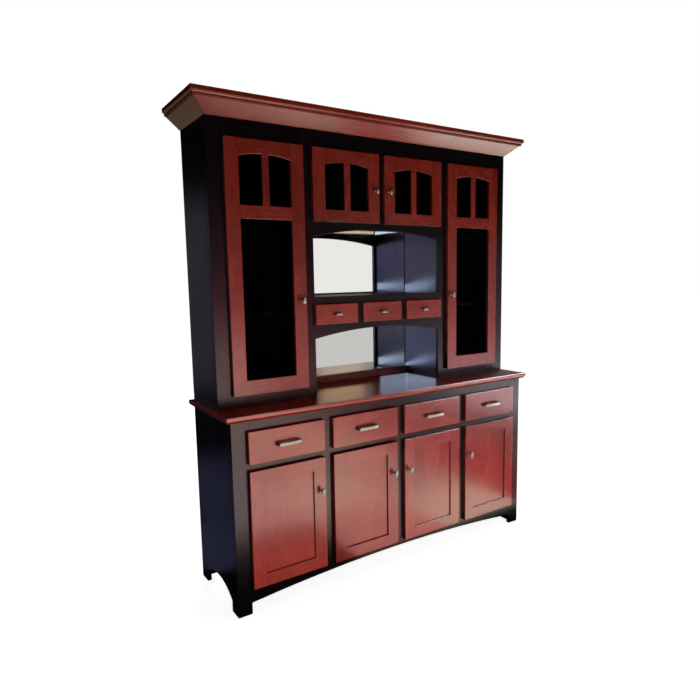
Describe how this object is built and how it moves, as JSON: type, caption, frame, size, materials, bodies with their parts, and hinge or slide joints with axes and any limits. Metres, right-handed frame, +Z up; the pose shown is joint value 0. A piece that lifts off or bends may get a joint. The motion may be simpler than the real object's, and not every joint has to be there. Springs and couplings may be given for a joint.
{
  "type": "dresser with hutch",
  "caption": "Dark case dresser with a glazed hutch on a cupboard base: panelled doors, drawers, arched mirror niche and sloped crown.",
  "frame": {"origin": "centre of the bounding box at floor level, under the middle of the base", "axes": "+Z up from the feet to the crown, +Y from the doors towards the back, +X from left to right along the front as seen by someone facing the doors"},
  "size_m": [1.85, 0.4876, 2.134],
  "materials": {
    "ebony_stain": "near-black stain under satin lacquer",
    "cherry_stain": "red-brown cherry stain under semi-gloss lacquer",
    "pale_birch": "clear satin lacquer on birch drawer parts",
    "dark_glass": "clear glass that reads black over the dark inside",
    "silvered_mirror": "silvered mirror glass",
    "satin_nickel": "satin nickel with a warm tone"
  },
  "bodies": {
    "case": {"countertop": "cherry_stain", "base_face_frame": "ebony_stain", "base_side_left": "ebony_stain", "base_side_right": "ebony_stain", "base_back_panel": "ebony_stain", "base_floor": "ebony_stain", "base_drawer_deck": "pale_birch", "base_partition": "ebony_stain", "hutch_side_left": "ebony_stain", "hutch_side_right": "ebony_stain", "hutch_face_frame": "ebony_stain", "niche_wall_left": "ebony_stain", "niche_wall_right": "ebony_stain", "hutch_back_panel": "ebony_stain", "mirror": "silvered_mirror", "mirror_rail": "cherry_stain", "upper_cabinet_floor": "ebony_stain", "niche_drawer_case": "ebony_stain", "crown_board": "cherry_stain", "crown_cap": "cherry_stain", "tall_cabinet_floor_left": "ebony_stain", "tall_cabinet_floor_right": "ebony_stain"},
    "base_door_1": {"base_door_1_frame": "cherry_stain", "base_door_1_panel": "cherry_stain", "base_door_1_knob": "satin_nickel"},
    "base_door_2": {"base_door_2_frame": "cherry_stain", "base_door_2_panel": "cherry_stain", "base_door_2_knob": "satin_nickel"},
    "base_door_3": {"base_door_3_frame": "cherry_stain", "base_door_3_panel": "cherry_stain", "base_door_3_knob": "satin_nickel"},
    "base_door_4": {"base_door_4_frame": "cherry_stain", "base_door_4_panel": "cherry_stain", "base_door_4_knob": "satin_nickel"},
    "tall_door_left": {"tall_door_left_frame": "cherry_stain", "tall_door_left_glass": "dark_glass", "tall_door_left_knob": "satin_nickel"},
    "tall_door_right": {"tall_door_right_frame": "cherry_stain", "tall_door_right_glass": "dark_glass", "tall_door_right_knob": "satin_nickel"},
    "small_door_left": {"small_door_left_frame": "cherry_stain", "small_door_left_glass": "dark_glass", "small_door_left_knob": "satin_nickel"},
    "small_door_right": {"small_door_right_frame": "cherry_stain", "small_door_right_glass": "dark_glass", "small_door_right_knob": "satin_nickel"},
    "base_drawer_1": {"base_drawer_1": "cherry_stain", "base_drawer_1_pull": "satin_nickel"},
    "base_drawer_2": {"base_drawer_2": "cherry_stain", "base_drawer_2_pull": "satin_nickel"},
    "base_drawer_3": {"base_drawer_3": "cherry_stain", "base_drawer_3_pull": "satin_nickel"},
    "base_drawer_4": {"base_drawer_4": "cherry_stain", "base_drawer_4_pull": "satin_nickel"},
    "niche_drawer_1": {"niche_drawer_1": "cherry_stain", "niche_drawer_1_pull": "satin_nickel"},
    "niche_drawer_2": {"niche_drawer_2": "cherry_stain", "niche_drawer_2_pull": "satin_nickel"},
    "niche_drawer_3": {"niche_drawer_3": "cherry_stain", "niche_drawer_3_pull": "satin_nickel"}
  },
  "joints": [
    {"name": "base_door_1_hinge", "type": "hinge", "parent": "case", "child": "base_door_1", "pos_m": [-0.7835, -0.2165, 0.368], "axis": [0, 0, -1], "range_deg": [0, 105]},
    {"name": "base_door_2_hinge", "type": "hinge", "parent": "case", "child": "base_door_2", "pos_m": [-0.38085, -0.2165, 0.368], "axis": [0, 0, -1], "range_deg": [0, 105]},
    {"name": "base_door_3_hinge", "type": "hinge", "parent": "case", "child": "base_door_3", "pos_m": [0.38085, -0.2165, 0.368], "axis": [0, 0, 1], "range_deg": [0, 105]},
    {"name": "base_door_4_hinge", "type": "hinge", "parent": "case", "child": "base_door_4", "pos_m": [0.7835, -0.2165, 0.368], "axis": [0, 0, 1], "range_deg": [0, 105]},
    {"name": "tall_door_left_hinge", "type": "hinge", "parent": "case", "child": "tall_door_left", "pos_m": [-0.7835, -0.0815, 1.4425], "axis": [0, 0, -1], "range_deg": [0, 105]},
    {"name": "tall_door_right_hinge", "type": "hinge", "parent": "case", "child": "tall_door_right", "pos_m": [0.7835, -0.0815, 1.4425], "axis": [0, 0, 1], "range_deg": [0, 105]},
    {"name": "small_door_left_hinge", "type": "hinge", "parent": "case", "child": "small_door_left", "pos_m": [-0.3757, -0.0815, 1.81435], "axis": [0, 0, -1], "range_deg": [0, 105]},
    {"name": "small_door_right_hinge", "type": "hinge", "parent": "case", "child": "small_door_right", "pos_m": [0.3757, -0.0815, 1.81435], "axis": [0, 0, 1], "range_deg": [0, 105]},
    {"name": "base_drawer_1_slide", "type": "slide", "parent": "case", "child": "base_drawer_1", "axis": [0, -1, 0], "range_m": [0, 0.3]},
    {"name": "base_drawer_2_slide", "type": "slide", "parent": "case", "child": "base_drawer_2", "axis": [0, -1, 0], "range_m": [0, 0.3]},
    {"name": "base_drawer_3_slide", "type": "slide", "parent": "case", "child": "base_drawer_3", "axis": [0, -1, 0], "range_m": [0, 0.3]},
    {"name": "base_drawer_4_slide", "type": "slide", "parent": "case", "child": "base_drawer_4", "axis": [0, -1, 0], "range_m": [0, 0.3]},
    {"name": "niche_drawer_1_slide", "type": "slide", "parent": "case", "child": "niche_drawer_1", "axis": [0, -1, 0], "range_m": [0, 0.18]},
    {"name": "niche_drawer_2_slide", "type": "slide", "parent": "case", "child": "niche_drawer_2", "axis": [0, -1, 0], "range_m": [0, 0.18]},
    {"name": "niche_drawer_3_slide", "type": "slide", "parent": "case", "child": "niche_drawer_3", "axis": [0, -1, 0], "range_m": [0, 0.18]}
  ]
}
